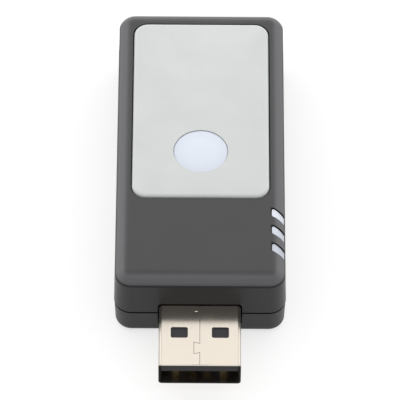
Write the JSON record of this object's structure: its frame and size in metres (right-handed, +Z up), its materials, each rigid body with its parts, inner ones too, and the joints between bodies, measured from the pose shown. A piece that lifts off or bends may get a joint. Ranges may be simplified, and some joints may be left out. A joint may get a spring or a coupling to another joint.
{
  "type": "smart usb wifi switch",
  "caption": "Plug-in USB dongle with a rolled-edge case, inset plate with a round push button, slanted light bars and a USB socket at the far end.",
  "frame": {"origin": "on the flat base, under the middle of the whole length with the plug", "axes": "+X to the right with the plug towards the viewer, +Y from the plug's tip to the far end, +Z up"},
  "size_m": [0.0252, 0.064, 0.0123],
  "materials": {
    "case_plastic": "fine moulded texture, satin",
    "panel_plastic": "smooth, satin",
    "button_plastic": "milky, smooth",
    "guide_plastic": "clear milky moulding",
    "plated_steel": "bright nickel plate, finely rolled",
    "black_plastic": "glass filled moulding",
    "gold_plate": "gold plated",
    "tin_plate": "tin plated",
    "board_laminate": "solder resist over laminate",
    "chip_epoxy": "moulded epoxy",
    "fuse_resin": "green resin",
    "ferrite": "ferrite, matt",
    "capacitor_ceramic": "fired, matt",
    "led_resin": "clear resin"
  },
  "bodies": {
    "case": {"upper_shell": "case_plastic", "lower_shell": "case_plastic", "top_panel": "panel_plastic", "light_guide": "guide_plastic", "usb_plug_shell": "plated_steel", "usb_socket_shell": "plated_steel", "usb_plug_insulator": "black_plastic", "usb_socket_insulator": "black_plastic", "tact_switch_base": "black_plastic", "usb_plug_contacts": "gold_plate", "usb_socket_contacts": "gold_plate", "antenna_trace": "gold_plate", "tact_switch_cover": "tin_plate", "tact_switch_dome": "tin_plate", "tact_switch_terminals": "tin_plate", "wifi_module_shield": "tin_plate", "load_switch_leads": "tin_plate", "regulator_leads": "tin_plate", "crystal": "tin_plate", "main_board": "board_laminate", "wifi_module_board": "board_laminate", "wifi_chip": "chip_epoxy", "flash_chip": "chip_epoxy", "load_switch_chip": "chip_epoxy", "voltage_regulator": "chip_epoxy", "small_resistors": "chip_epoxy", "resettable_fuse": "fuse_resin", "inductor": "ferrite", "input_capacitor": "capacitor_ceramic", "output_capacitor": "capacitor_ceramic", "small_capacitors": "capacitor_ceramic", "status_leds": "led_resin", "button_led": "led_resin"},
    "button": {"push_button": "button_plastic", "tact_switch_plunger": "black_plastic"}
  },
  "joints": [
    {"name": "button_press", "type": "slide", "parent": "case", "child": "button", "axis": [0, 0, -1], "range_m": [0, 0.00025], "stiffness_N_per_m": 6000, "deforming": ["tact_switch_dome"]}
  ]
}
